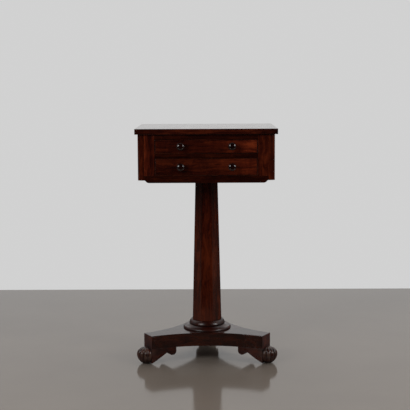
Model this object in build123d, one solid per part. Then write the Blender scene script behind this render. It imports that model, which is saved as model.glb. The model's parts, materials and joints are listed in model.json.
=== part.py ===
"""Teapoy: a small two-drawer pedestal table of dark polished wood.

A rectangular top over a shallow case with two drawers, on a tapering eight-sided
column that stands on a three-armed platform with lobed scroll feet.
Units are millimetres, +Z is up and the front faces -Y.  The pieces are laid out with
the column's axis on X = Y = 0 and the floor at Z = 0; on export everything moves
together, so that the origin is the bottom centre of the whole table's bounding box.
"""
from build123d import *

import os
from math import cos, pi, radians, sin

os.makedirs("parts", exist_ok=True)

# ---------------------------------------------------------------- driving sizes
HEIGHT = 752.0            # floor to upper face of the top
TOP_WIDTH = 440.0
TOP_DEPTH = 350.0
TOP_THICK = 17.0
TOP_EDGE = 0.8            # rounding of the arrises of the top
OVERHANG = 8.0            # of the top past the case, all round

CASE_DEEP = 150.0         # height of the case under the top, at mid width
CORNER_RISE = 8.0         # how much higher the posts and the sides end
OGEE_RUN = 15.5           # length of the curve between the two levels
OGEE_TURN = 0.3           # share of it after which the curve bends the other way
POST = 20.0               # side of a corner post
POST_ROUND = 12.5         # radius of its outer corner
PANEL = 14.0              # thickness of sides and back
STILE = 32.0              # width of the uprights between posts and drawers
RAIL_TOP = 14.0           # height of the rail over the upper drawer
OPEN_UPPER = 46.0         # height of the upper opening
RAIL_MID = 12.5           # height of the rail between the drawers
OPEN_LOWER = 55.5         # height of the lower opening
RAIL_MID_DEEP = 50.0      # front to back depth of that rail
BOARD = 9.7               # thickness of the case bottom
TONGUE = 5.0              # thickness of the tongues on the ends of the boards
TONGUE_IN = 6.0           # how far they reach into the next piece
TONGUE_STOP = 6.0         # how far over the foot of a post they stop
RAIL_SHOULDER = 3.0       # under the tongues of the upper rail
HOUSING = 4.0             # depth of the groove for the case bottom
RUNNER_LAP = 7.0          # of runners and kickers past the drawer sides, inwards
GUIDE_HIGH = 24.0
STOP_INSET = 48.0         # middle of a drawer stop to the end of the opening
STOP_LONG = 26.0
STOP_DEEP = 24.0
STOP_ROOM = 1.8           # between a stop and the drawer floor over it

DRAWER_FRONT = 16.0       # thickness
DRAWER_SIDE = 8.0
DRAWER_BACK = 7.0
DRAWER_FLOOR = 5.0
FLOOR_LIFT = 6.5          # underside of the drawer floor over the edge of the sides
FRONT_LIFT = 0.4          # lower edge of the front over the edge of the sides
SIDE_DROP = 1.2           # of the sides below the front's upper edge
BACK_DROP = 4.0           # of the back below the sides
BACK_ROOM = 6.0           # behind a closed drawer
GROOVE = 4.0              # depth of the grooves that hold the drawer floor
LAP = 7.6                 # length of the lapped dovetails in the front
TAIL_PITCH = 19.0         # wanted spacing of the dovetails
TAIL_SHARE = 0.26         # half width of a tail at its root, as a share of the spacing
TAIL_FLARE = 0.16         # slope of a dovetail
TAIL_START = 1.0          # lower edge of the first tail's room over the edge of the side
BEAD = 3.0                # thickness of the cockbead
BEAD_DEEP = 8.0
BEAD_PROUD = 1.3
BEAD_ROUND = 1.26         # rounding of its two outer edges

SLIDE_GAP = 0.3           # under the drawer sides
SIDE_GAP = 0.7            # at each side of a drawer
HEAD_GAP = 0.8            # over a drawer
BORE_GAP = 0.2            # radial room round the screws
GLUE_GAP = 0.1            # room round dowels, tenons, tongues and knob shanks

KNOB_INSET = 80.5         # from the ends of a drawer opening
KNOB_HEAD = 12.0          # radius
KNOB_LONG = 22.0          # from the drawer face
KNOB_SHANK = 4.5          # radius
KNOB_FOOT = (0.68, 0.07)  # points of its outline: share of the radius, share of the length
KNOB_WAIST = (0.47, 0.26)
KNOB_NECK = (0.55, 0.45)
KNOB_UNDER = (0.86, 0.53)
KNOB_RIM = (1.0, 0.68)
KNOB_DOME = (0.76, 0.90)

BEARER_LONG = 190.0
BEARER_DEEP = 130.0
BEARER_THICK = 12.0
BEARER_BEVEL = 3.0
COLUMN_TOP = 71.5         # across the flats
COLUMN_FOOT = 94.0
COLUMN_SIDES = 8
TENON = 20.0              # radius of the lower tenon
TENON_TOP = 17.0          # radius of the upper tenon
TENON_DEEP = 32.0         # of the lower tenon in the platform
ARRIS = 0.8               # softening of the column's arrises and the platform's upper edge

COLLAR_HIGH = 16.0
COLLAR_RADIUS = 58.5      # at its widest
COLLAR_LIP = 3.0          # how much narrower its lower edge is
COLLAR_BELLY = 4.0        # height of the widest line
COLLAR_BREAK_IN = 0.55    # how far in from the widest line the sides start to lean
COLLAR_BREAK_UP = 6.8     # and how high
COLLAR_LEAN = 22.0        # degrees
COLLAR_LEDGE = 7.0        # how much narrower its upper edge is
BASE_RING_HIGH = 12.0
BASE_RING_RADIUS = 78.0
BASE_RING_RIM = 6.5       # height of its rim
RIM_BEVEL_IN = 0.6        # of the rim's lower edge
RIM_BEVEL_UP = 1.0
RIM_ROUND = 2.4           # how far in the rim's upper edge curves
RIM_FLAT = 1.1            # from there to the step
RIM_STEP = 0.6
HOLLOW_OUT = 4.5          # middle of the hollow, out from its neck
HOLLOW_UP = 2.5           # and up from the rim
HOLLOW_NECK = 1.0         # how much narrower than the collar the hollow ends

PLAT_TOP = 91.5           # height of the upper face of the platform
PLAT_THICK = 42.5
TIP_REACH = 218.5         # axis to the flat end of an arm
TIP_WIDE = 54.0
SIDE_IN = 88.0            # axis to the middle of a hollow side

BOSS_RADIUS = 30.0        # lobed ball at the end of a foot, at its widest
BOSS_OUT = 6.5            # its centre past the end of the arm
BOSS_BELLY = 31.0         # height of its widest line
BOSS_CROWN = 23.0         # from there to its top
BOSS_SINK = 1.2           # the ball is cut flat on the floor by this much
BOSS_LEVELS = (-80, -60, -35, 0, 35, 60, 80)   # latitudes of its sections, degrees
LOBES = 12
FLUTE = 4.0               # depth of the valleys between the lobes
NUB_BACK = 69.5           # middle of the small scroll, back from the end of the arm
NUB_RADIUS = 12.7
NUB_DROP = 12.5           # and below the platform
NUB_TURN = 22.0           # degrees below level at which the notch leaves it
NOTCH_BACK = 52.0         # the notch behind the small scroll, from the end of the arm
NOTCH_DROP = 15.2
SLOPE_BOW = 1.9           # sag of the slope between notch and ball
HEEL = 3.0                # height of the foot's underside at the end of the arm
PAD = 9.5                 # radius of the pad under the ball
DOWEL = 4.5               # radius
DOWEL_DEEP = 12.0         # on each side of the joint
DOWEL_INNER = 42.5        # from the end of the arm
DOWEL_OUTER = 13.5

SCREW_CORE = 1.9          # radius
SCREW_HEAD = 3.8
SCREW_CONE = 3.0          # height of the countersunk head
SCREW_BITE = 9.0          # length in the second piece
SCREW_TIP = 3.0
SCREW_POINT = 0.3         # radius
SCREW_ROOM = 0.6          # past the point
SLOT_WIDE = 0.9
SLOT_DEEP = 0.8
KICKER_INSET = 48.0       # of the screws from the ends of a kicker
BEARER_INSET = 19.0       # of the screws from the sides of the bearer

ARM_TURNS = {"front_left": 210.0, "front_right": 330.0, "rear": 90.0}
OVERLAP = 1.0             # of the forms that make up one piece

# ---------------------------------------------------------------- derived levels
Z_TOP_UNDER = HEIGHT - TOP_THICK
Z_CASE_FOOT = Z_TOP_UNDER - CASE_DEEP
Z_POST_FOOT = Z_CASE_FOOT + CORNER_RISE
Z_TONGUE_FOOT = Z_POST_FOOT + TONGUE_STOP
Z_UPPER_HEAD = Z_TOP_UNDER - RAIL_TOP
Z_UPPER_FOOT = Z_UPPER_HEAD - OPEN_UPPER
Z_LOWER_HEAD = Z_UPPER_FOOT - RAIL_MID
Z_LOWER_FOOT = Z_LOWER_HEAD - OPEN_LOWER
Z_BOARD_TOP = Z_LOWER_FOOT - SLIDE_GAP     # also the top of the apron
Z_RAIL_TOP = Z_UPPER_FOOT - SLIDE_GAP      # top of the middle rail and its runners
Z_KICK_FOOT = Z_UPPER_HEAD + SLIDE_GAP
Z_BOARD_FOOT = Z_BOARD_TOP - BOARD
Z_BEARER_FOOT = Z_BOARD_FOOT - BEARER_THICK
Z_COLUMN_FOOT = PLAT_TOP + BASE_RING_HIGH + COLLAR_HIGH
PLAT_FOOT = PLAT_TOP - PLAT_THICK

# ---------------------------------------------------------------- derived places
HALF_W = TOP_WIDTH / 2 - OVERHANG
HALF_D = TOP_DEPTH / 2 - OVERHANG
IN_W = HALF_W - PANEL          # inner face of a side
IN_BACK = HALF_D - PANEL       # inner face of the back
POST_W = HALF_W - POST         # inner face of a post, across
POST_D = HALF_D - POST         # inner face of a post, front to back
HALF_OPEN = POST_W - STILE     # of both drawer openings
KNOB_X = HALF_OPEN - KNOB_INSET
RUN_IN = HALF_OPEN - DRAWER_SIDE - RUNNER_LAP   # inner edge of runners and kickers
FRONT_MID = POST / 2 - HALF_D  # middle of the thickness of apron, stiles and upper rail
PANEL_MID = PANEL / 2          # middle of a panel's thickness behind the outer face

BOSS_REACH = TIP_REACH + BOSS_OUT
NUB_REACH = TIP_REACH - NUB_BACK
NUB_UP = PLAT_FOOT - NUB_DROP
NOTCH = (TIP_REACH - NOTCH_BACK, PLAT_FOOT - NOTCH_DROP)
DOWEL_REACH = (TIP_REACH - DOWEL_INNER, TIP_REACH - DOWEL_OUTER)
DOWEL_SPAN = (PLAT_FOOT - DOWEL_DEEP, PLAT_FOOT + DOWEL_DEEP)

KICKER_MID = (RUN_IN + IN_W) / 2
KICKER_ENDS = (KICKER_INSET - POST_D, IN_BACK - KICKER_INSET)
TOP_SCREWS = [(s * KICKER_MID, y) for s in (-1, 1) for y in KICKER_ENDS]
BEARER_X = BEARER_LONG / 2 - BEARER_INSET
BEARER_Y = BEARER_DEEP / 2 - BEARER_INSET
BEARER_SCREWS = [(s * BEARER_X, t * BEARER_Y) for s in (-1, 1) for t in (-1, 1)]


# ---------------------------------------------------------------- small helpers
def block(x0, x1, y0, y1, z0, z1):
    """A box between six planes."""
    size = Box(x1 - x0, y1 - y0, z1 - z0)
    return Pos((x0 + x1) / 2, (y0 + y1) / 2, (z0 + z1) / 2) * size


def mirror_x(shape):
    return mirror(shape, about=Plane.YZ)


def save(shape, node):
    shape.label = node
    export_step(shape, "parts/" + node + ".step")


def group(shapes):
    """Separate solids that make one node."""
    return Compound([solid for shape in shapes for solid in shape.solids()])


def along_z(radius, z0, z1, x=0.0, y=0.0):
    return Pos(x, y, (z0 + z1) / 2) * Cylinder(radius, z1 - z0)


def along_y(radius, y0, y1, x=0.0, z=0.0):
    return Pos(x, (y0 + y1) / 2, z) * Rot(90, 0, 0) * Cylinder(radius, y1 - y0)


def turned(edges):
    """A solid of revolution about Z from a closed outline in the XZ plane."""
    return revolve(Plane.XZ * Face(Wire(edges)), Axis.Z)


# ---------------------------------------------------------------- top and case
def top_board():
    board = block(-TOP_WIDTH / 2, TOP_WIDTH / 2, -TOP_DEPTH / 2, TOP_DEPTH / 2, Z_TOP_UNDER, HEIGHT)
    rims = board.edges().filter_by(Axis.Z, reverse=True)
    board = fillet(rims, TOP_EDGE)
    z_end = Z_TOP_UNDER + SCREW_BITE + SCREW_ROOM
    for x, y in TOP_SCREWS:
        board -= along_z(SCREW_CORE + BORE_GAP, Z_TOP_UNDER, z_end, x, y)
    return board


def corner_post(sx, sy):
    """Square post, its outer corner rounded, grooved for the boards that meet it."""
    post = block(POST_W, HALF_W, POST_D, HALF_D, Z_POST_FOOT, Z_TOP_UNDER)
    outer = post.edges().filter_by(Axis.Z).sort_by(lambda e: e.center().X + e.center().Y)[-1]
    post = fillet(outer, POST_ROUND)
    x_mid = HALF_W - PANEL_MID
    y_mid = HALF_D - PANEL_MID
    if sy < 0:
        y_mid = -FRONT_MID
    half = TONGUE / 2 + GLUE_GAP
    deep = TONGUE_IN + GLUE_GAP
    z_stop = Z_TONGUE_FOOT - GLUE_GAP
    post -= block(POST_W, POST_W + deep, y_mid - half, y_mid + half, z_stop, Z_TOP_UNDER)
    post -= block(x_mid - half, x_mid + half, POST_D, POST_D + deep, z_stop, Z_TOP_UNDER)
    if sx < 0:
        post = mirror_x(post)
    if sy < 0:
        post = mirror(post, about=Plane.XZ)
    return post


def tongues(half, y_mid, z0, z1):
    """A tongue past each end of a board that spans -half to half along X."""
    y0, y1 = y_mid - TONGUE / 2, y_mid + TONGUE / 2
    reach = half + TONGUE_IN
    return block(-reach, -half, y0, y1, z0, z1) + block(half, reach, y0, y1, z0, z1)


def hanging_board(half, thick, z_head):
    """A board centred on X whose lower edge drops by an ogee from both ends.

    Its outer face lies on Y = 0 and its thickness runs towards -Y.
    """
    edges = [
        Line((half - OGEE_RUN, Z_CASE_FOOT), (OGEE_RUN - half, Z_CASE_FOOT)),
        Line((half, Z_POST_FOOT), (half, z_head)),
        Line((half, z_head), (-half, z_head)),
        Line((-half, z_head), (-half, Z_POST_FOOT)),
    ]
    for s in (-1, 1):
        end = (s * half, Z_POST_FOOT)
        turn = (s * (half - OGEE_TURN * OGEE_RUN), Z_POST_FOOT - OGEE_TURN * CORNER_RISE)
        flat = (s * (half - OGEE_RUN), Z_CASE_FOOT)
        edges.append(TangentArc(end, turn, tangent=(-s, 0)))
        edges.append(TangentArc(flat, turn, tangent=(s, 0)))
    return extrude(Plane.XZ * Face(Wire(edges)), thick, dir=(0, -1, 0))


def front_apron():
    """Bottom rail under the lower drawer."""
    board = Pos(0, -POST_D, 0) * hanging_board(POST_W, POST, Z_BOARD_TOP)
    return board + tongues(POST_W, FRONT_MID, Z_TONGUE_FOOT, Z_BOARD_TOP)


def case_back():
    board = Pos(0, HALF_D, 0) * hanging_board(POST_W, PANEL, Z_TOP_UNDER)
    return board + tongues(POST_W, HALF_D - PANEL_MID, Z_TONGUE_FOOT, Z_TOP_UNDER)


def case_side():
    """Right-hand side, tongued into the posts and grooved for the case bottom."""
    side = block(IN_W, HALF_W, -POST_D, POST_D, Z_POST_FOOT, Z_TOP_UNDER)
    pair = tongues(POST_D, PANEL_MID - HALF_W, Z_TONGUE_FOOT, Z_TOP_UNDER)
    side += Rot(0, 0, 90) * pair
    z0, z1 = Z_BOARD_FOOT - GLUE_GAP, Z_BOARD_TOP + GLUE_GAP
    return side - block(IN_W, IN_W + HOUSING, -POST_D, POST_D, z0, z1)


def front_stile():
    """Upright between post and drawers, right-hand."""
    stile = block(HALF_OPEN, POST_W, -HALF_D, -POST_D, Z_BOARD_TOP, Z_TOP_UNDER)
    y0, y1 = FRONT_MID - TONGUE / 2, FRONT_MID + TONGUE / 2
    stile += block(POST_W, POST_W + TONGUE_IN, y0, y1, Z_BOARD_TOP, Z_TOP_UNDER)
    x1 = HALF_OPEN + TONGUE_IN + GLUE_GAP
    z0 = Z_UPPER_HEAD + RAIL_SHOULDER - GLUE_GAP
    return stile - block(HALF_OPEN, x1, y0 - GLUE_GAP, y1 + GLUE_GAP, z0, Z_TOP_UNDER)


def upper_rail():
    rail = block(-HALF_OPEN, HALF_OPEN, -HALF_D, -POST_D, Z_UPPER_HEAD, Z_TOP_UNDER)
    return rail + tongues(HALF_OPEN, FRONT_MID, Z_UPPER_HEAD + RAIL_SHOULDER, Z_TOP_UNDER)


def middle_rail():
    """Rail between the drawers, notched round the stiles."""
    y_back = -HALF_D + RAIL_MID_DEEP
    rail = block(-HALF_OPEN, HALF_OPEN, -HALF_D, y_back, Z_LOWER_HEAD, Z_RAIL_TOP)
    return rail + block(-IN_W, IN_W, -POST_D, y_back, Z_LOWER_HEAD, Z_RAIL_TOP)


def clear_back_post(shape):
    """Notch a right-hand piece round the back post."""
    return shape - block(POST_W, HALF_W, POST_D, HALF_D, 0, HEIGHT)


def case_bottom():
    """Board in the grooves of the sides, from the apron to the back."""
    half = IN_W + HOUSING - GLUE_GAP
    board = block(-half, half, -POST_D, IN_BACK, Z_BOARD_FOOT, Z_BOARD_TOP)
    board = clear_back_post(board)
    board = mirror_x(clear_back_post(mirror_x(board)))
    for x, y in BEARER_SCREWS:
        board -= along_z(SCREW_CORE + BORE_GAP, Z_BOARD_FOOT, Z_BOARD_FOOT + SCREW_BITE, x, y)
    return board


def runner():
    """Carries a side of the upper drawer, right-hand."""
    y_front = -HALF_D + RAIL_MID_DEEP
    return clear_back_post(block(RUN_IN, IN_W, y_front, IN_BACK, Z_LOWER_HEAD, Z_RAIL_TOP))


def guide(z_foot):
    """Fills the room between drawer and case side, right-hand."""
    strip = block(HALF_OPEN, IN_W, -POST_D, IN_BACK, z_foot, z_foot + GUIDE_HIGH)
    return clear_back_post(strip)


def kicker():
    """Keeps the open upper drawer from tipping and holds the top, right-hand."""
    strip = clear_back_post(block(RUN_IN, IN_W, -POST_D, IN_BACK, Z_KICK_FOOT, Z_TOP_UNDER))
    for y in KICKER_ENDS:
        strip -= screw_hole(KICKER_MID, y, Z_KICK_FOOT, Z_TOP_UNDER)
    return strip


def drawer_stops():
    """Small blocks that each drawer front closes against."""
    blocks = []
    y0 = -HALF_D + DRAWER_FRONT + SLIDE_GAP
    y1 = y0 + STOP_DEEP
    high = SLIDE_GAP + FLOOR_LIFT - STOP_ROOM
    for z in (Z_RAIL_TOP, Z_BOARD_TOP):
        for s in (-1, 1):
            x = s * (HALF_OPEN - STOP_INSET)
            blocks.append(block(x - STOP_LONG / 2, x + STOP_LONG / 2, y0, y1, z, z + high))
    return group(blocks)


# ---------------------------------------------------------------- screws
def upright_cone(low, top, high):
    return Cone(low, top, high, align=(Align.CENTER, Align.CENTER, Align.MIN))


def screw(x, y, z_head, long):
    """Countersunk wood screw driven upwards, its head flush at z_head."""
    body = upright_cone(SCREW_HEAD, SCREW_CORE, SCREW_CONE)
    body += along_z(SCREW_CORE, 0, long - SCREW_TIP)
    body += Pos(0, 0, long - SCREW_TIP) * upright_cone(SCREW_CORE, SCREW_POINT, SCREW_TIP)
    body -= Box(2 * SCREW_HEAD + OVERLAP, SLOT_WIDE, 2 * SLOT_DEEP)
    return Pos(x, y, z_head) * body


def screw_hole(x, y, z0, z1):
    """Clearance hole with a countersink at its lower end."""
    cone = upright_cone(SCREW_HEAD + GLUE_GAP, SCREW_CORE + GLUE_GAP, SCREW_CONE)
    return Pos(x, y, z0) * cone + along_z(SCREW_CORE + BORE_GAP, z0, z1, x, y)


def top_screws():
    long = Z_TOP_UNDER - Z_KICK_FOOT + SCREW_BITE
    return group([screw(x, y, Z_KICK_FOOT, long) for x, y in TOP_SCREWS])


def bearer_screws():
    long = BEARER_THICK + SCREW_BITE - SCREW_ROOM
    return group([screw(x, y, Z_BEARER_FOOT, long) for x, y in BEARER_SCREWS])


# ---------------------------------------------------------------- drawers
def tails(z0, z1, x0, x1, y_root):
    """Dovetails for one drawer side, pointing towards -Y from y_root."""
    count = max(2, round((z1 - z0) / TAIL_PITCH))
    pitch = (z1 - z0) / count
    root = pitch * TAIL_SHARE
    tip = root + LAP * TAIL_FLARE
    y_tip = y_root - LAP
    solids = []
    for k in range(count):
        z = z0 + (k + 0.5) * pitch
        corners = [(y_root, z - root), (y_tip, z - tip), (y_tip, z + tip), (y_root, z + root)]
        profile = Plane.YZ * Face(Wire(Polyline(*corners, close=True).edges()))
        solids.append(Pos(x0, 0, 0) * extrude(profile, x1 - x0, dir=(1, 0, 0)))
    return solids


def knob(x, z):
    """Turned knob with a mushroom head and a round shank through the drawer front."""
    outline = (KNOB_FOOT, KNOB_WAIST, KNOB_NECK, KNOB_UNDER, KNOB_RIM, KNOB_DOME)
    foot, waist, neck, under, rim, dome = [(r * KNOB_HEAD, h * KNOB_LONG) for r, h in outline]
    shank_end = -DRAWER_FRONT - OVERLAP
    body = turned([
        Line((0, shank_end), (KNOB_SHANK, shank_end)),
        Line((KNOB_SHANK, shank_end), (KNOB_SHANK, 0)),
        Line((KNOB_SHANK, 0), (foot[0], 0)),
        Line((foot[0], 0), foot),
        ThreePointArc(foot, waist, neck),
        ThreePointArc(neck, under, rim),
        Spline(rim, dome, (0, KNOB_LONG), tangents=[(0, 1), (-1, 0)]),
        Line((0, KNOB_LONG), (0, shank_end)),
    ])
    return Pos(x, -HALF_D, z) * Rot(90, 0, 0) * body


def cockbead(x1, z0, z1):
    """Four thin strips round a drawer front, standing slightly proud of it."""
    y0 = -HALF_D - BEAD_PROUD
    y1 = -HALF_D + BEAD_DEEP
    strips = [
        (block(-x1, x1, y0, y1, z0, z0 + BEAD), Axis.X),
        (block(-x1, x1, y0, y1, z1 - BEAD, z1), Axis.X),
        (block(-x1, -x1 + BEAD, y0, y1, z0 + BEAD, z1 - BEAD), Axis.Z),
        (block(x1 - BEAD, x1, y0, y1, z0 + BEAD, z1 - BEAD), Axis.Z),
    ]
    rounded = []
    for strip, along in strips:
        rims = strip.faces().sort_by(Axis.Y)[0].edges().filter_by(along)
        rounded.append(fillet(rims, min(BEAD_ROUND, 0.45 * BEAD)))
    return group(rounded)


def drawer(name, z_foot, z_head):
    """All pieces of one drawer, by node name."""
    half = HALF_OPEN - SIDE_GAP
    in_x = half - DRAWER_SIDE
    y_face = -HALF_D
    y_root = y_face + DRAWER_FRONT
    y_end = IN_BACK - BACK_ROOM
    z0 = z_foot + FRONT_LIFT
    z1 = z_head - HEAD_GAP
    side_top = z1 - SIDE_DROP
    floor_z = z_foot + FLOOR_LIFT
    groove_top = floor_z + DRAWER_FLOOR

    core = block(-half, half, y_face + BEAD_DEEP, y_root, z0, z1)
    core += block(-half + BEAD, half - BEAD, y_face, y_root, z0 + BEAD, z1 - BEAD)
    groove = block(-in_x - GROOVE, in_x + GROOVE, y_root - GROOVE, y_root, floor_z, groove_top)
    front = core - groove
    side = block(in_x, half, y_root, y_end, z_foot, side_top)
    for tail in tails(z_foot + TAIL_START, side_top, in_x, half, y_root):
        front -= tail
        front -= mirror_x(tail)
        side += tail
    side -= block(in_x, in_x + GROOVE, y_root - LAP, y_end, floor_z, groove_top)

    z_knob = (z_foot + z_head) / 2
    for s in (-1, 1):
        front -= along_y(KNOB_SHANK + GLUE_GAP, y_face, y_root, s * KNOB_X, z_knob)

    floor = block(-in_x - GROOVE, in_x + GROOVE, y_root - GROOVE, y_end, floor_z, groove_top)
    back = block(-in_x, in_x, y_end - DRAWER_BACK, y_end, groove_top, side_top - BACK_DROP)
    return {
        name + "_front": front,
        name + "_cockbead": cockbead(half, z0, z1),
        name + "_side_right": side,
        name + "_side_left": mirror_x(side),
        name + "_back": back,
        name + "_floor": floor,
        name + "_knob_left": knob(-KNOB_X, z_knob),
        name + "_knob_right": knob(KNOB_X, z_knob),
    }


# ---------------------------------------------------------------- pedestal
def bearer():
    """Block between case and column, screwed up into the case bottom."""
    half_x, half_y = BEARER_LONG / 2, BEARER_DEEP / 2
    body = block(-half_x, half_x, -half_y, half_y, Z_BEARER_FOOT, Z_BOARD_FOOT)
    body = chamfer(body.faces().sort_by(Axis.Z)[0].edges(), BEARER_BEVEL)
    body -= along_z(TENON_TOP + GLUE_GAP, Z_BEARER_FOOT, Z_BOARD_FOOT)
    for x, y in BEARER_SCREWS:
        body -= screw_hole(x, y, Z_BEARER_FOOT, Z_BOARD_FOOT)
    return body


def column_section(flats, z):
    """Regular outline with a flat side to the front."""
    half_turn = 180 / COLUMN_SIDES
    return Pos(0, 0, z) * RegularPolygon(flats / 2, COLUMN_SIDES, major_radius=False, rotation=half_turn).face()


def column():
    """Eight-sided tapering shaft with a round tenon at each end."""
    shaft = loft([column_section(COLUMN_FOOT, Z_COLUMN_FOOT), column_section(COLUMN_TOP, Z_BEARER_FOOT)])
    arrises = [e for e in shaft.edges() if abs((e % 0.5).Z) > 0.5]
    shaft = fillet(arrises, ARRIS)
    lower = along_z(TENON, PLAT_TOP - TENON_DEEP, Z_COLUMN_FOOT + OVERLAP)
    upper = along_z(TENON_TOP, Z_BEARER_FOOT - OVERLAP, Z_BOARD_FOOT)
    return shaft + lower + upper


def collar():
    """Upper turned ring: a soft belly that leans in towards the column's foot."""
    z0 = PLAT_TOP + BASE_RING_HIGH
    z1 = z0 + COLLAR_HIGH
    r = COLLAR_RADIUS
    bore = TENON + GLUE_GAP
    lip = (r - COLLAR_LIP, z0)
    belly = (r, z0 + COLLAR_BELLY)
    shoulder = (r - COLLAR_BREAK_IN, z0 + COLLAR_BREAK_UP)
    ledge = (r - COLLAR_LEDGE, z1)
    lean = radians(COLLAR_LEAN)
    via = (r - COLLAR_LIP * (1 - cos(pi / 4)), z0 + COLLAR_BELLY * (1 - sin(pi / 4)))
    return turned([
        Line((bore, z0), lip),
        ThreePointArc(lip, via, belly),
        TangentArc(belly, shoulder, tangent=(0, 1)),
        TangentArc(shoulder, ledge, tangent=(-sin(lean), cos(lean))),
        Line(ledge, (bore, z1)),
        Line((bore, z1), (bore, z0)),
    ])


def base_ring():
    """Lower turned ring: a rounded rim, a small step and a hollow up to the collar."""
    z0 = PLAT_TOP
    z1 = z0 + BASE_RING_HIGH
    z_rim = z0 + BASE_RING_RIM
    r = BASE_RING_RADIUS
    bore = TENON + GLUE_GAP
    wide = (r, z0 + RIM_BEVEL_UP)
    crest = (r - RIM_ROUND, z_rim)
    step_x = crest[0] - RIM_FLAT
    step_top = (step_x, z_rim + RIM_STEP)
    neck = (COLLAR_RADIUS - HOLLOW_NECK, z1)
    via = (neck[0] + HOLLOW_OUT, z_rim + HOLLOW_UP)
    return turned([
        Line((bore, z0), (r - RIM_BEVEL_IN, z0)),
        Line((r - RIM_BEVEL_IN, z0), wide),
        TangentArc(wide, crest, tangent=(0, 1)),
        Line(crest, (step_x, z_rim)),
        Line((step_x, z_rim), step_top),
        ThreePointArc(step_top, via, neck),
        Line(neck, (bore, z1)),
        Line((bore, z1), (bore, z0)),
    ])


def plan_outline():
    """Plan of the platform: three flat tips joined by hollow sides, one arm along +X."""
    edges = []
    corners = []
    for k in range(3):
        turn = radians(120 * k)
        out = Vector(cos(turn), sin(turn)) * TIP_REACH
        across = Vector(-sin(turn), cos(turn)) * (TIP_WIDE / 2)
        corners.append((out - across, out + across))
    for k in range(3):
        middle = radians(120 * k + 60)
        edges.append(Line(corners[k][0], corners[k][1]))
        via = (SIDE_IN * cos(middle), SIDE_IN * sin(middle))
        edges.append(ThreePointArc(corners[k][1], via, corners[(k + 1) % 3][0]))
    return Face(Wire(edges))


def plan_prism(z0, z1):
    return Pos(0, 0, z0) * extrude(plan_outline(), z1 - z0, dir=(0, 0, 1))


def dowel_pair(radius, z0, z1):
    """The pins of one arm along +X, or the holes for them."""
    near, far = [along_z(radius, z0, z1, reach) for reach in DOWEL_REACH]
    return near + far


def platform():
    body = plan_prism(PLAT_FOOT, PLAT_TOP)
    body = chamfer(body.faces().sort_by(Axis.Z)[-1].edges(), ARRIS)
    body -= along_z(TENON + GLUE_GAP, PLAT_TOP - TENON_DEEP, PLAT_TOP)
    body = Rot(0, 0, ARM_TURNS["rear"]) * body
    for turn in ARM_TURNS.values():
        body -= Rot(0, 0, turn) * dowel_pair(DOWEL + GLUE_GAP, PLAT_FOOT, DOWEL_SPAN[1])
    return body


def on_nub(degrees):
    """A point of the small scroll's outline."""
    turn = radians(degrees)
    return (NUB_REACH + NUB_RADIUS * cos(turn), NUB_UP + NUB_RADIUS * sin(turn))


def foot_blank():
    """Sawn outline of a foot, arm along +X: small scroll, notch and slope down to the heel."""
    inner = on_nub(180)
    left = on_nub(360 - NUB_TURN)
    heel = (TIP_REACH, HEEL)
    sag = ((NOTCH[0] + TIP_REACH) / 2, (NOTCH[1] + HEEL) / 2 - SLOPE_BOW)
    edges = [
        Line((TIP_REACH, PLAT_FOOT), (inner[0], PLAT_FOOT)),
        Line((inner[0], PLAT_FOOT), inner),
        ThreePointArc(inner, on_nub(270 - NUB_TURN / 2), left),
        Line(left, NOTCH),
        ThreePointArc(NOTCH, sag, heel),
        Line(heel, (TIP_REACH, PLAT_FOOT)),
    ]
    slab = extrude(Plane.XZ * Face(Wire(edges)), 2 * SIDE_IN, dir=(0, -1, 0))
    return (Pos(0, SIDE_IN, 0) * slab) & plan_prism(0, PLAT_FOOT)


def lobed_section(latitude):
    """Outline of the ball at one latitude, each lobe a single arc."""
    crest = BOSS_RADIUS * cos(radians(latitude))
    valley = crest * (1 - FLUTE / BOSS_RADIUS)
    half_high = BOSS_CROWN if latitude > 0 else BOSS_BELLY + BOSS_SINK
    step = 2 * pi / LOBES
    arcs = []
    for k in range(LOBES):
        start, end = (k - 0.5) * step, (k + 0.5) * step
        arcs.append(ThreePointArc(
            (valley * cos(start), valley * sin(start)),
            (crest * cos(k * step), crest * sin(k * step)),
            (valley * cos(end), valley * sin(end)),
        ))
    return Pos(0, 0, BOSS_BELLY + half_high * sin(radians(latitude))) * Face(Wire(arcs))


def boss():
    """Ball carved with upright lobes, fuller above, cut flat where it stands on the floor."""
    ball = Pos(BOSS_REACH, 0, 0) * loft([lobed_section(latitude) for latitude in BOSS_LEVELS])
    ball += along_z(PAD, 0, BOSS_BELLY, BOSS_REACH)
    wide = 2 * BOSS_RADIUS
    return ball - block(BOSS_REACH - wide, BOSS_REACH + wide, -wide, wide, -wide, 0)


def foot():
    """Carved scroll foot, arm along +X."""
    body = foot_blank() + boss()
    body -= plan_prism(PLAT_FOOT, PLAT_TOP)
    return body - dowel_pair(DOWEL + GLUE_GAP, DOWEL_SPAN[0], PLAT_FOOT)


def foot_dowels():
    return group([Rot(0, 0, turn) * dowel_pair(DOWEL, *DOWEL_SPAN) for turn in ARM_TURNS.values()])


# ---------------------------------------------------------------- assembly
def case_pieces():
    """Frame of the case and what is fixed in it, by node name."""
    nodes = {
        "top_board": top_board(),
        "post_front_left": corner_post(-1, -1),
        "post_front_right": corner_post(1, -1),
        "post_back_left": corner_post(-1, 1),
        "post_back_right": corner_post(1, 1),
        "case_back": case_back(),
        "case_bottom": case_bottom(),
        "rail_upper": upper_rail(),
        "rail_middle": middle_rail(),
        "apron_front": front_apron(),
        "drawer_stops": drawer_stops(),
        "top_screws": top_screws(),
    }
    right_hand = {
        "case_side": case_side(),
        "stile": front_stile(),
        "runner": runner(),
        "guide_upper": guide(Z_RAIL_TOP),
        "guide_lower": guide(Z_BOARD_TOP),
        "kicker": kicker(),
    }
    for name, shape in right_hand.items():
        nodes[name + "_right"] = shape
        nodes[name + "_left"] = mirror_x(shape)
    return nodes


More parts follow.
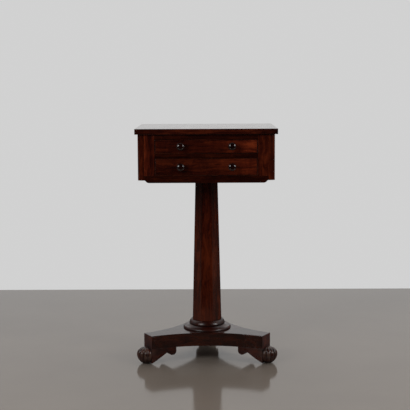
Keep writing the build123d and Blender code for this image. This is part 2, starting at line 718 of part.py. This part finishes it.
def pedestal_pieces():
    nodes = {
        "bearer": bearer(),
        "bearer_screws": bearer_screws(),
        "column": column(),
        "collar": collar(),
        "base_ring": base_ring(),
        "platform": platform(),
        "foot_dowels": foot_dowels(),
    }
    carved = foot()
    for arm, turn in ARM_TURNS.items():
        nodes["foot_" + arm] = Rot(0, 0, turn) * carved
    return nodes


if __name__ == "__main__":
    pieces = case_pieces()
    pieces.update(drawer("drawer_upper", Z_UPPER_FOOT, Z_UPPER_HEAD))
    pieces.update(drawer("drawer_lower", Z_LOWER_FOOT, Z_LOWER_HEAD))
    pieces.update(pedestal_pieces())
    boxes = [shape.bounding_box() for shape in pieces.values()]
    x_mid = (min(b.min.X for b in boxes) + max(b.max.X for b in boxes)) / 2
    y_mid = (min(b.min.Y for b in boxes) + max(b.max.Y for b in boxes)) / 2
    print("origin moved by", round(-x_mid, 3), round(-y_mid, 3))
    for node, shape in pieces.items():
        save(Pos(-x_mid, -y_mid, 0) * shape, node)
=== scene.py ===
"""The look of the teapoy: French-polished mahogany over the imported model, on a plain studio floor.

Every node of the model keeps its shape and gets a finish of its own.  Lengths are metres, the
drawers open towards -Y, and patterns are laid out in the object's own coordinates.
"""

import json
from math import cos, pi, radians, sin

import bmesh
import bpy
from mathutils import Matrix, Vector

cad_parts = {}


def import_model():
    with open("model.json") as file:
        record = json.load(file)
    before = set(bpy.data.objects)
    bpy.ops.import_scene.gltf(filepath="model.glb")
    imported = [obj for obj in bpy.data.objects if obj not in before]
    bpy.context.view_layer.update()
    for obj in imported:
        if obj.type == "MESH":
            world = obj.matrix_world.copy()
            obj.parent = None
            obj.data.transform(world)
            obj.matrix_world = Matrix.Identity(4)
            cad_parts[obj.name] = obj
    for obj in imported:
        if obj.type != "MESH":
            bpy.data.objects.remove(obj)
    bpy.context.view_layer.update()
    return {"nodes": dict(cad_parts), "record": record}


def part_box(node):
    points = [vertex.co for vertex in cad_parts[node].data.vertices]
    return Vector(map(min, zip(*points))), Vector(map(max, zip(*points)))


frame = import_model()

ALONG = {"X": 0, "Y": 1, "Z": 2}
NOISE_MID = 0.5              # middle of what a noise gives


# ---------------------------------------------------------------- nodes of a material or a world
class Graph:
    """Short calls for the kinds of shader node that the finishes below are made of."""

    def __init__(self, owner):
        owner.use_nodes = True
        self.owner = owner
        self.tree = owner.node_tree
        self.tree.nodes.clear()

    def add(self, kind, inputs=None, **settings):
        node = self.tree.nodes.new("ShaderNode" + kind)
        for key, value in settings.items():
            setattr(node, key, value)
        for key, value in (inputs or {}).items():
            self.feed(node.inputs[key], value)
        return node

    def feed(self, socket, value):
        if isinstance(value, bpy.types.NodeSocket):
            self.tree.links.new(value, socket)
        else:
            socket.default_value = value

    def place(self, kind="Object"):
        return self.add("TexCoord").outputs[kind]

    def math(self, operation, first, second=0.0):
        return self.add("Math", {0: first, 1: second}, operation=operation).outputs[0]

    def vector(self, operation, first, second, output="Vector"):
        node = self.add("VectorMath", {0: first, 1: second}, operation=operation)
        return node.outputs[output]

    def blend(self, share, first, second, mode="MIX"):
        node = self.add("Mix", data_type="RGBA", blend_type=mode)
        for socket, value in zip((0, 6, 7), (share, first, second)):
            self.feed(node.inputs[socket], value)
        return node.outputs[2]

    def grey(self, value):
        return self.add("CombineColor", {0: value, 1: value, 2: value}).outputs[0]

    def spread(self, value, low, high, to_low=0.0, to_high=1.0):
        """Maps low..high to to_low..to_high, and clamps."""
        names = ("Value", "From Min", "From Max", "To Min", "To Max")
        node = self.add("MapRange", dict(zip(names, (value, low, high, to_low, to_high))))
        return node.outputs[0]

    def placed(self, where, scale=(1, 1, 1), shift=(0, 0, 0)):
        return self.add("Mapping", {"Vector": where, "Scale": scale, "Location": shift}).outputs[0]

    def noise(self, where, scale=1.0, detail=2.0, twist=0.0):
        settings = {"Vector": where, "Scale": scale, "Detail": detail, "Distortion": twist}
        return self.add("TexNoise", settings).outputs[0]

    def ramp(self, value, colours):
        """Colours at even steps from 0 to 1."""
        node = self.add("ValToRGB", {0: value})
        elements = node.color_ramp.elements
        while len(elements) < len(colours):
            elements.new(0.5)
        for k, (element, colour) in enumerate(zip(elements, colours)):
            element.position = k / (len(colours) - 1)
            element.color = opaque(colour)
        return node.outputs[0]

    def close(self, shader, output="OutputMaterial"):
        self.tree.links.new(shader.outputs[0], self.add(output).inputs[0])
        return self.owner


def finish(name):
    return Graph(bpy.data.materials.new(name))


def opaque(colour):
    return (*colour, 1.0)


def column_axis():
    low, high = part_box("column")
    return Vector(((low[0] + high[0]) / 2, (low[1] + high[1]) / 2, 0))


# ---------------------------------------------------------------- kinds of wood
class Wood:
    """Colours and polish of one kind of timber."""

    def __init__(self, dark, mid, light, worn, pore=0.55, rough=(0.10, 0.17), coat=0.15):
        self.dark = dark
        self.mid = mid
        self.light = light
        self.worn = worn
        self.pore = pore
        self.rough = rough
        self.coat = coat

    def colours(self):
        return (self.dark, self.mid, self.light)


MAHOGANY = Wood(
    (0.015, 0.0018, 0.0009), (0.053, 0.0069, 0.0023), (0.129, 0.0203, 0.0056),
    (0.200, 0.056, 0.023))
CARVED = Wood(*MAHOGANY.colours(), (0.19, 0.115, 0.080), rough=(0.22, 0.34), coat=0.0)
TURNED = Wood(*MAHOGANY.colours(), MAHOGANY.worn, rough=(0.26, 0.34), coat=0.0)
KNOB_WOOD = Wood(
    (0.003, 0.0007, 0.0005), (0.011, 0.0016, 0.0008), (0.028, 0.0040, 0.0016),
    (0.070, 0.022, 0.010), rough=(0.10, 0.16), coat=0.4)
LINING = Wood(
    (0.16, 0.085, 0.040), (0.27, 0.155, 0.078), (0.36, 0.225, 0.125),
    (0.42, 0.28, 0.17), pore=0.4, rough=(0.48, 0.62), coat=0.0)
CARCASE = Wood(
    (0.11, 0.055, 0.026), (0.19, 0.100, 0.048), (0.27, 0.155, 0.080),
    (0.34, 0.21, 0.12), pore=0.4, rough=(0.60, 0.75), coat=0.0)

# ---------------------------------------------------------------- grain
# Names in _WAVES scale a pattern along and across the grain, or all ways where there is one value.
# Names in _ENDS are the two readings that a thing sets in at and is full at.
SHIFT_STEPS = ((17, 0.61), (13, 0.83), (11, 0.47))    # turns and steps that place each board
SWAY_WAVES = (2.2, 7.0)
SWAY_REACH = 0.035           # how far the grain wanders
BAND_WAVES = (1.6, 40.0)
STREAK_WAVES = (2.4, 150.0)
FIBRE_WAVES = (13.0, 620.0)
FIGURE_WAVES = (30.0, 11.0)
FIGURE_TWIST = 1.3
CLOUD_WAVES = 5.5
BAND_SHARE = 0.55            # of each pattern in the mix that the colour follows
STREAK_SHARE = 0.50
FIBRE_SHARE = 0.20
CLOUD_SHARE = 0.30
MIX_ENDS = (0.32, 0.68)      # darkest and lightest wood
PORE_WAVES = (55.0, 1250.0)
PORE_ENDS = (0.60, 0.68)

# ---------------------------------------------------------------- wear, wax and polish
EDGE_RADIUS = 0.0012         # of the arrises as they catch the light
EDGE_SAMPLES = 4
EDGE_ENDS = (0.995, 0.90)    # cosine between a face and its softened normal
EDGE_WEAR = 0.40
EDGE_PATCH_WAVES = 60.0
EDGE_PATCH_ENDS = (0.42, 0.62)
OPEN_REACH = 0.014           # how near another face makes a corner
OPEN_SAMPLES = 8
# The crests of the feet are lightened as wear, and partly as a painted highlight on the lobes.
KNOCK_HIGH = 0.03            # height on the column's axis that KNOCK_REACH is measured from
KNOCK_REACH = (0.205, 0.225)
KNOCK_OPEN_ENDS = (0.75, 0.98)
KNOCK_PATCH_WAVES = 75.0
KNOCK_PATCH_ENDS = (0.40, 0.62)
SHADE_AND_WAX_ENDS = (0.25, 0.90)      # openness of a face: painted shade and old wax, clean
SHADE_AND_WAX_TONE = 0.40              # brightness in the painted shade and old wax
WAX_ROUGH = 0.20             # roughness that the wax adds
WAX_ROUGH_ENDS = (0.4, 1.0)
PAINTED_LIGHT_ENDS = (0.0, 0.12)      # distance towards +X over which the painted pool of light grows
END_GRAIN_ENDS = (0.6, 0.8)  # how squarely a face cuts the grain
END_GRAIN_ROUGH = 0.50       # that end grain is duller than the face of a board
POLISH_WAVES = 22.0
POLISH_ENDS = (0.35, 0.68)
RIPPLE_WAVES = 38.0
RIPPLE_HIGH = 0.9            # shares of ripples and pores in the bump
PORE_DEEP = 0.10
BUMP_STRENGTH = 0.25
BUMP_HIGH = 0.0008
POLISH_IOR = 1.5
COAT_ROUGH = 0.09


def own_shift(name):
    """A place in the patterns for each board, so that no two are alike."""
    number = sum((k + 1) * ord(letter) for k, letter in enumerate(name))
    return tuple(number % turn * step for turn, step in SHIFT_STEPS)


def stretched(grain, waves):
    """Scale that draws a pattern out along the grain."""
    along, across = waves
    scale = [across] * 3
    scale[ALONG[grain]] = along
    return scale


def drawn_out(f, where, grain, waves, **settings):
    return f.noise(f.placed(where, stretched(grain, waves)), **settings)


def wandering(f, here, grain):
    """The place in the patterns, moved a little so that the grain doesn't run dead straight."""
    noise = f.add("TexNoise", {"Vector": f.placed(here, stretched(grain, SWAY_WAVES))})
    sway = f.vector("SUBTRACT", noise.outputs["Color"], (NOISE_MID,) * 3)
    sway = f.add("VectorMath", {0: sway, "Scale": SWAY_REACH}, operation="SCALE").outputs[0]
    return f.vector("ADD", here, sway)


def clean_wood(f, here, grain, wood, figure):
    """Colour of the unworn wood, and its pores."""
    bent = wandering(f, here, grain)
    patterns = (
        (drawn_out(f, bent, grain, BAND_WAVES, detail=3.0), BAND_SHARE),
        (drawn_out(f, bent, grain, STREAK_WAVES, detail=3.0), STREAK_SHARE),
        (drawn_out(f, bent, grain, FIBRE_WAVES), FIBRE_SHARE),
        (drawn_out(f, bent, grain, FIGURE_WAVES, detail=3.0, twist=FIGURE_TWIST), figure),
        (f.noise(here, scale=CLOUD_WAVES), CLOUD_SHARE),
    )
    mix = NOISE_MID
    for pattern, share in patterns:
        part = f.math("MULTIPLY", f.math("SUBTRACT", pattern, NOISE_MID), share)
        mix = f.math("ADD", mix, part)
    colour = f.ramp(f.spread(mix, *MIX_ENDS), wood.colours())
    pores = f.spread(drawn_out(f, bent, grain, PORE_WAVES, detail=1.0), *PORE_ENDS)
    colour = f.blend(f.math("MULTIPLY", pores, wood.pore), colour, opaque(wood.dark))
    return colour, pores


def crest_wear_and_highlight(f, place, here, openness, knocked_and_highlit):
    """How worn and light the crests far out on the feet are: wear, and partly a painted highlight on
    their lobes.
    """
    centre = column_axis() + Vector((0, 0, KNOCK_HIGH))
    reach = f.vector("DISTANCE", place, centre, "Value")
    crests = f.spread(openness, *KNOCK_OPEN_ENDS)
    worn_and_highlit = f.math("MULTIPLY", f.spread(reach, *KNOCK_REACH), crests)
    patches = f.noise(here, scale=KNOCK_PATCH_WAVES)
    return f.math("MULTIPLY", worn_and_highlit, f.spread(patches, *KNOCK_PATCH_ENDS, 0.0, knocked_and_highlit))


def timber(name, wood, grain, figure=0.20, tone=1.0, painted_light_side=0.0, ends=0.0, coat=None,
           knocked_and_highlit=0.0):
    """A board's finish: patterns along its grain, worn arrises, and painted shade with old polish in
    its corners and recesses.

    tone brightens the whole board and ends its end grain; the side argument brightens the part
    towards +X as a painted pool of light.
    The last argument lightens the crests of the carving that stands farthest out, where feet touch
    it: wear, and partly a painted highlight.
    """
    f = finish(name)
    place = f.place()
    here = f.placed(place, shift=own_shift(name))
    colour, pores = clean_wood(f, here, grain, wood, figure)

    soft = f.add("Bevel", {"Radius": EDGE_RADIUS}, samples=EDGE_SAMPLES).outputs[0]
    true = f.add("NewGeometry").outputs["True Normal"]
    edge = f.spread(f.vector("DOT_PRODUCT", soft, true, "Value"), *EDGE_ENDS)
    patches = f.spread(f.noise(here, scale=EDGE_PATCH_WAVES), *EDGE_PATCH_ENDS)
    edge = f.math("MULTIPLY", edge, patches)
    colour = f.blend(f.math("MULTIPLY", edge, EDGE_WEAR), colour, opaque(wood.worn))

    sheltered = f.add("AmbientOcclusion", {"Distance": OPEN_REACH}, samples=OPEN_SAMPLES)
    openness = sheltered.outputs["AO"]
    # Lighter crests on the feet: wear, and partly a painted highlight.
    if knocked_and_highlit:
        worn_and_highlit = crest_wear_and_highlight(f, place, here, openness, knocked_and_highlit)
        colour = f.blend(worn_and_highlit, colour, opaque(wood.worn))
    # Painted shade, with old wax: darker where nearby faces shelter a face, as in corners, recesses
    # and under overhangs.
    shade_and_wax = f.spread(openness, *SHADE_AND_WAX_ENDS, SHADE_AND_WAX_TONE, 1.0)
    sideways = f.add("SeparateXYZ", {0: place}).outputs[0]
    endwise = f.math("ABSOLUTE", f.add("SeparateXYZ", {0: true}).outputs[ALONG[grain]])
    # Painted pool of light: the board grows brighter towards +X.
    level = f.math("ADD", tone, f.spread(sideways, *PAINTED_LIGHT_ENDS, 0.0, painted_light_side))
    level = f.math("ADD", level, f.spread(endwise, *END_GRAIN_ENDS, 0.0, ends))
    colour = f.blend(1.0, colour, f.grey(f.math("MULTIPLY", shade_and_wax, level)), "MULTIPLY")

    rough = f.spread(f.noise(here, scale=POLISH_WAVES, detail=3.0), *POLISH_ENDS, *wood.rough)
    rough = f.math("ADD", rough, f.spread(shade_and_wax, *WAX_ROUGH_ENDS, WAX_ROUGH, 0.0))
    dull = f.spread(endwise, *END_GRAIN_ENDS, 0.0, END_GRAIN_ROUGH)
    rough = f.math("ADD", rough, dull)
    ripple = f.math("MULTIPLY", f.noise(here, scale=RIPPLE_WAVES, detail=1.0), RIPPLE_HIGH)
    height = f.math("SUBTRACT", ripple, f.math("MULTIPLY", pores, PORE_DEEP))
    bump = f.add("Bump", {"Strength": BUMP_STRENGTH, "Distance": BUMP_HIGH, "Height": height,
                          "Normal": soft})
    look = {
        "Base Color": colour,
        "Roughness": rough,
        "Normal": bump.outputs[0],
        "IOR": POLISH_IOR,
        "Coat Weight": wood.coat if coat is None else coat,
        "Coat Roughness": COAT_ROUGH,
        "Coat IOR": POLISH_IOR,
    }
    return f.close(f.add("BsdfPrincipled", look))


# ---------------------------------------------------------------- steel
STEEL_WAVES = 900.0
STEEL_COLOURS = ((0.10, 0.085, 0.07), (0.34, 0.33, 0.32))
STEEL_COLOUR_ENDS = (0.35, 0.7)
STEEL_ROUGH_ENDS = (0.3, 0.7)
STEEL_ROUGH = (0.32, 0.6)


def dull_steel():
    f = finish("dull_steel")
    spots = f.noise(f.place(), scale=STEEL_WAVES, detail=3.0)
    look = {
        "Base Color": f.ramp(f.spread(spots, *STEEL_COLOUR_ENDS), STEEL_COLOURS),
        "Roughness": f.spread(spots, *STEEL_ROUGH_ENDS, *STEEL_ROUGH),
        "Metallic": 1.0,
    }
    return f.close(f.add("BsdfPrincipled", look))


# ---------------------------------------------------------------- which board gets what
GRAIN_Z = ("post_", "stile_", "column")
GRAIN_Y = ("case_side", "runner", "guide", "kicker", "drawer_upper_side", "drawer_lower_side")
FEET = ("foot_front", "foot_rear")
TURNINGS = ("collar", "base_ring")
WOODS = {"show_wood": MAHOGANY, "pedestal_wood": MAHOGANY, "knob_wood": KNOB_WOOD,
         "lining_wood": LINING, "carcase_wood": CARCASE}
SPECIAL = {
    "top_board": {"coat": 0.5},
    "post_": {"tone": 1.2},
    "stile_left": {"tone": 1.8},
    "stile_right": {"tone": 1.2},
    # Painted pool of light on the drawer fronts, brighter towards +X.
    "drawer_upper_front": {"figure": 0.25, "tone": 1.2, "painted_light_side": 1.05},
    "drawer_lower_front": {"figure": 0.25, "tone": 0.9, "painted_light_side": 1.0},
    # Painted shade, in part: the rails and cockbeads are darkened for the shade that falls under the
    # top and between the drawers.
    "rail_upper": {"tone": 0.6},
    "rail_middle": {"tone": 0.45},
    "drawer_upper_cockbead": {"tone": 0.6},
    "drawer_lower_cockbead": {"tone": 0.6},
    "apron": {"tone": 0.5},
    "column": {"tone": 1.05, "figure": 0.10, "coat": 0.05},
    "collar": {"tone": 0.5},
    "base_ring": {"tone": 0.8},
    "platform": {"tone": 0.45, "ends": 0.45, "coat": 0.05},
    # The feet's crests are lightened as wear, and partly as a painted highlight.
    "foot_": {"tone": 0.75, "knocked_and_highlit": 0.5},
}


def grain_of(node):
    if node.startswith(GRAIN_Z):
        return "Z"
    if node.startswith(GRAIN_Y):
        return "Y"
    return "X"


def wood_of(node, slot):
    if node.startswith(FEET):
        return CARVED
    if node.startswith(TURNINGS):
        return TURNED
    return WOODS[slot]


def special_of(node):
    for start, settings in SPECIAL.items():
        if node.startswith(start):
            return settings
    return {}


def dress(node, material):
    materials = frame["nodes"][node].data.materials
    materials.clear()
    materials.append(material)


def dress_all():
    slots = {part["node"]: part["material_slot"] for part in frame["record"]["subparts"]}
    steel = dull_steel()
    for node in frame["nodes"]:
        slot = slots[node]
        if slot == "screw_steel":
            dress(node, steel)
        else:
            wood = wood_of(node, slot)
            dress(node, timber(node, wood, grain_of(node), **special_of(node)))


# ---------------------------------------------------------------- studio
FLOOR_SIDES = 9.0
FLOOR_FRONT = -1.0
FLOOR_COLOUR = (0.250, 0.211, 0.176)
FLOOR_WAVES = 3.0
FLOOR_ENDS = (0.3, 0.7)
FLOOR_CLOUD = (0.96, 1.04)   # brightness that it drifts between
FLOOR_ROUGH = 0.11
FLOOR_IOR = 1.5
PANEL_Y = 1.04               # behind the column's axis
PANEL_HALF = 1.3
PANEL_HIGH = 1.55

WALL_TONE = 0.64
SKY_TONE = 1.0               # of the soft light from above and behind
DARK_TONE = 0.012            # of the room that the front faces mirror
BACK_ENDS = (0.60, 0.85)     # how far a direction points to +Y: dark room, pale wall
REAR_ENDS = (-0.15, 0.25)    # and where the soft light sets in
ABOVE_ENDS = (0.20, 0.55)    # how far it points up, for the same light

CAMERA_FROM_AXIS = (0.0064, -3.3161, 0.907)
CAMERA_YAW = 0.200           # degrees, like the next two
CAMERA_PITCH = 7.071
CAMERA_ROLL = -0.260
SENSOR = 36.0                # millimetres, like the lens
LENS = 90.08

LAMP_TURNS = {"lamp_left": -42.0, "lamp_right": 60.0}    # degrees from the front
LAMP_FAR = 2.6
LAMP_HIGH = 1.55
LAMP_SIDE = 1.0
LAMP_RADIANCE = 7.0
LAMP_AIM = Vector((0, 0, 0.45))


def flat_sheet(name, corners, material):
    """A single face for the stage."""
    mesh = bpy.data.meshes.new(name)
    form = bmesh.new()
    form.faces.new([form.verts.new(corner) for corner in corners])
    form.to_mesh(mesh)
    form.free()
    mesh.materials.append(material)
    sheet = bpy.data.objects.new(name, mesh)
    bpy.context.collection.objects.link(sheet)


def floor_finish():
    """Plain, and polished enough to mirror the table softly."""
    f = finish("studio_floor")
    cloud = f.spread(f.noise(f.place(), scale=FLOOR_WAVES, detail=4.0), *FLOOR_ENDS, *FLOOR_CLOUD)
    colour = f.blend(1.0, f.grey(cloud), opaque(FLOOR_COLOUR), "MULTIPLY")
    look = {"Base Color": colour, "Roughness": FLOOR_ROUGH, "IOR": FLOOR_IOR}
    return f.close(f.add("BsdfPrincipled", look))


def panel_finish():
    """A pale wall that is seen from the front only, so that it never stands before the camera."""
    f = finish("studio_wall")
    glow = f.add("Emission", {"Color": f.grey(WALL_TONE), "Strength": 1.0})
    clear = f.add("BsdfTransparent")
    back = f.add("NewGeometry").outputs["Backfacing"]
    return f.close(f.add("MixShader", {0: back, 1: glow.outputs[0], 2: clear.outputs[0]}))


def stage(axis):
    x, y0, y1 = FLOOR_SIDES, FLOOR_FRONT, FLOOR_SIDES
    flat_sheet("studio_floor", [(-x, y0, 0), (x, y0, 0), (x, y1, 0), (-x, y1, 0)], floor_finish())
    x, y, z = PANEL_HALF, axis.y + PANEL_Y, PANEL_HIGH
    flat_sheet("studio_wall", [(-x, y, 0), (x, y, 0), (x, y, z), (-x, y, z)], panel_finish())


def world():
    """The camera sees it pale all round; it lights from above and behind, and is dark in front."""
    f = Graph(bpy.data.worlds.new("studio"))
    bpy.context.scene.world = f.owner
    towards = f.add("SeparateXYZ", {0: f.place("Generated")})
    behind = f.spread(towards.outputs[1], *BACK_ENDS, DARK_TONE, WALL_TONE)
    rear_half = f.spread(towards.outputs[1], *REAR_ENDS, 0.0, SKY_TONE)
    above = f.math("MULTIPLY", f.spread(towards.outputs[2], *ABOVE_ENDS), rear_half)
    level = f.math("MAXIMUM", behind, above)
    seen = f.add("LightPath").outputs["Is Camera Ray"]
    level = f.blend(seen, f.grey(level), opaque((WALL_TONE,) * 3))
    f.close(f.add("Background", {"Color": level, "Strength": 1.0}), "OutputWorld")


def lamp(name, turn):
    light = bpy.data.lights.new(name, "AREA")
    light.shape = "SQUARE"
    light.size = LAMP_SIDE
    light.energy = LAMP_RADIANCE * pi * LAMP_SIDE ** 2
    holder = bpy.data.objects.new(name, light)
    bpy.context.collection.objects.link(holder)
    place = Vector((sin(radians(turn)) * LAMP_FAR, -cos(radians(turn)) * LAMP_FAR, LAMP_HIGH))
    holder.location = place
    holder.rotation_euler = (LAMP_AIM - place).to_track_quat("-Z", "Y").to_euler()


def camera(axis):
    data = bpy.data.cameras.new("camera")
    data.sensor_width = SENSOR
    data.lens = LENS
    holder = bpy.data.objects.new("camera", data)
    bpy.context.collection.objects.link(holder)
    turn = Matrix.Rotation(radians(CAMERA_YAW), 3, "Z")
    turn = turn @ Matrix.Rotation(radians(90 - CAMERA_PITCH), 3, "X")
    turn = turn @ Matrix.Rotation(radians(CAMERA_ROLL), 3, "Z")
    holder.location = axis + Vector(CAMERA_FROM_AXIS)
    holder.rotation_euler = turn.to_euler()
    bpy.context.scene.camera = holder


dress_all()
stage(column_axis())
world()
for lamp_name, lamp_turn in LAMP_TURNS.items():
    lamp(lamp_name, lamp_turn)
camera(column_axis())
bpy.context.scene.view_settings.view_transform = "Standard"
